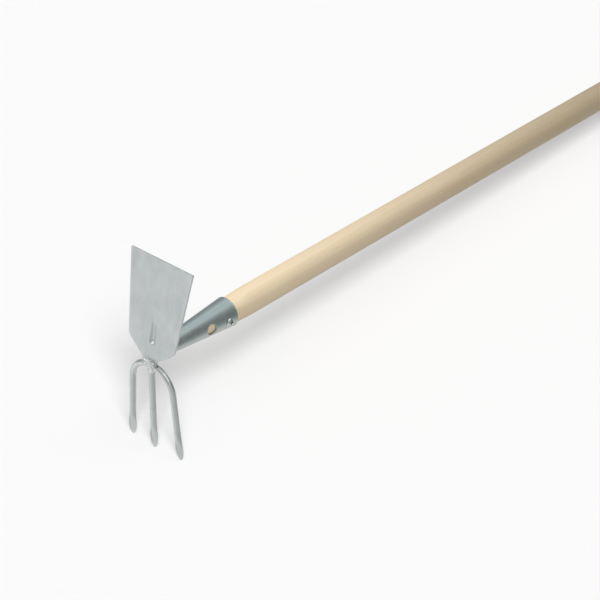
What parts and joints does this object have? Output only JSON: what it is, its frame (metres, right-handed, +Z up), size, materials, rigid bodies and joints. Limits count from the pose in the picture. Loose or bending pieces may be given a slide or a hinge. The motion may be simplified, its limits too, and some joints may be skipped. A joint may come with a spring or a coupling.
{
  "type": "double hoe",
  "caption": "Double hoe: a flat flared blade on one side and a fork of round tines on the other, welded to a conical socket on a long wooden handle.",
  "frame": {"origin": "centre of the underside of the bounding box, on the floor that the tool rests on", "axes": "+Z up, +X from the head along the handle to its butt, +Y across the blade; the blade points up and the tines point down to the floor"},
  "size_m": [1.3324, 0.078, 0.1933],
  "materials": {
    "galvanised_sheet": "matt to satin zinc, faintly mottled",
    "galvanised_rod": "satin zinc, brighter on the bends",
    "plated_socket": "satin zinc plate with a cool blue-grey tint",
    "weld_metal": "bright, rippled and slightly uneven",
    "screw_zinc": "bright zinc plate",
    "ash_wood": "pale planed ash with a fine straight grain, thinly oiled"
  },
  "bodies": {
    "root": {"blade": "galvanised_sheet", "socket": "plated_socket", "handle": "ash_wood", "socket_screw": "screw_zinc", "outer_tines": "galvanised_rod", "centre_tine": "galvanised_rod", "neck_weld": "weld_metal", "socket_weld": "weld_metal", "tine_weld": "weld_metal"}
  },
  "joints": []
}
